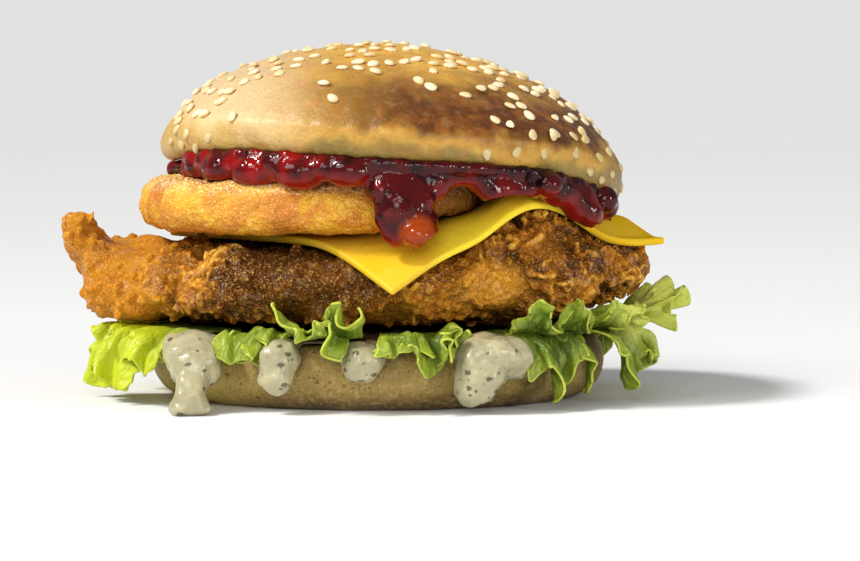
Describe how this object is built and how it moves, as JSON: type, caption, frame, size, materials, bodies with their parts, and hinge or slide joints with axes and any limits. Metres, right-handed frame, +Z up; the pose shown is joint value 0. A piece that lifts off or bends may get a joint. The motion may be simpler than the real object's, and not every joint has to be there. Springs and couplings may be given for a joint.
{
  "type": "chicken burger",
  "caption": "Tall chicken burger: seeded bun, fruit relish, hash brown, cheese, fried chicken, lettuce and herb sauce.",
  "frame": {"origin": "middle of the lower bun's flat base, on the surface the burger stands on", "axes": "+Z up through the layers, +X to the right of the pictured side, +Y to the back"},
  "size_m": [0.1574, 0.1325, 0.0884],
  "materials": {
    "baked_crumb": "matt, finely pored bread crust, drier and duller than the upper bun",
    "herb_sauce": "creamy white, glossy, with small dark herb flecks",
    "lettuce": "fresh yellow-green, veined, satin with brighter frilled edges",
    "fried_crust": "craggy golden brown fried coating with dark specks",
    "cheese": "smooth warm yellow, satin, softened by heat",
    "potato_crust": "fine golden crumb with yellow patches and browner edges",
    "fruit_relish": "dark red, glossy, jelly-like with translucent red lumps",
    "golden_crust": "golden baked crust with a soft sheen and pale sesame seeds"
  },
  "bodies": {
    "root": {"bun_heel": "baked_crumb", "herb_sauce": "herb_sauce", "leaf_left": "lettuce", "leaf_front_left": "lettuce", "leaf_front": "lettuce", "leaf_front_right": "lettuce", "leaf_right": "lettuce", "leaf_far_right": "lettuce", "leaf_far_right_high": "lettuce", "leaf_back_right": "lettuce", "leaf_back_left": "lettuce", "chicken": "fried_crust", "cheese_slice": "cheese", "hash_brown": "potato_crust", "fruit_relish": "fruit_relish", "bun_crown": "golden_crust"}
  },
  "joints": []
}
